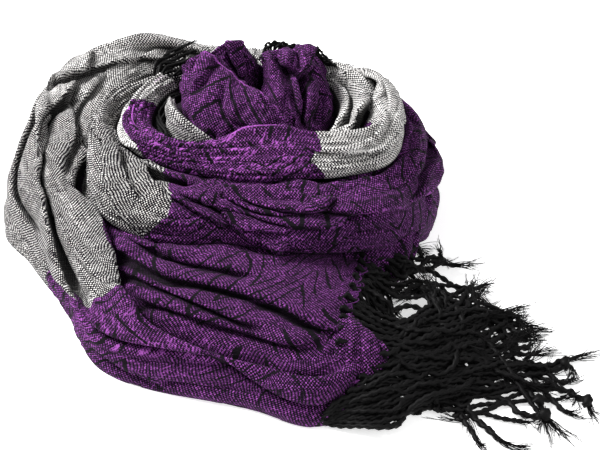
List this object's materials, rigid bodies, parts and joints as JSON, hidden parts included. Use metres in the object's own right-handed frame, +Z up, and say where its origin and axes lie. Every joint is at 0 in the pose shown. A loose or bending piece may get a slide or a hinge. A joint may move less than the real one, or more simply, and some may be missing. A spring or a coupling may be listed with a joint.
{
  "type": "scarf",
  "caption": "Gauzy fringed scarf wound into a loose rosette: broad gathered folds in two colours climb to a puffed crown, with a twisted cord fringe spread beside it.",
  "frame": {"origin": "centre of the bounding box, at the underside that lies on the table", "axes": "+Z up from the table, +X to the right and +Y away from someone who faces the front, where the broad outer fold and the loose end with its fringe lie"},
  "size_m": [0.3168, 0.2942, 0.092],
  "materials": {
    "cloth_purple": "matte",
    "cloth_grey": "matte",
    "fringe": "matte"
  },
  "bodies": {
    "root": {"front_sweep": "cloth_purple", "left_sweep": "cloth_grey", "back_sweep": "cloth_purple", "right_sweep": "cloth_purple", "front_wrap": "cloth_purple", "left_wrap": "cloth_grey", "back_wrap": "cloth_grey", "right_wrap": "cloth_grey", "front_roll": "cloth_purple", "left_roll": "cloth_purple", "inner_leaf": "cloth_grey", "crown_front": "cloth_purple", "crown_back": "cloth_purple", "crown_right": "cloth_purple", "fringe_outer": "fringe", "fringe_inner": "fringe", "fringe_top": "fringe", "hidden_layers": "cloth_grey"}
  },
  "joints": []
}
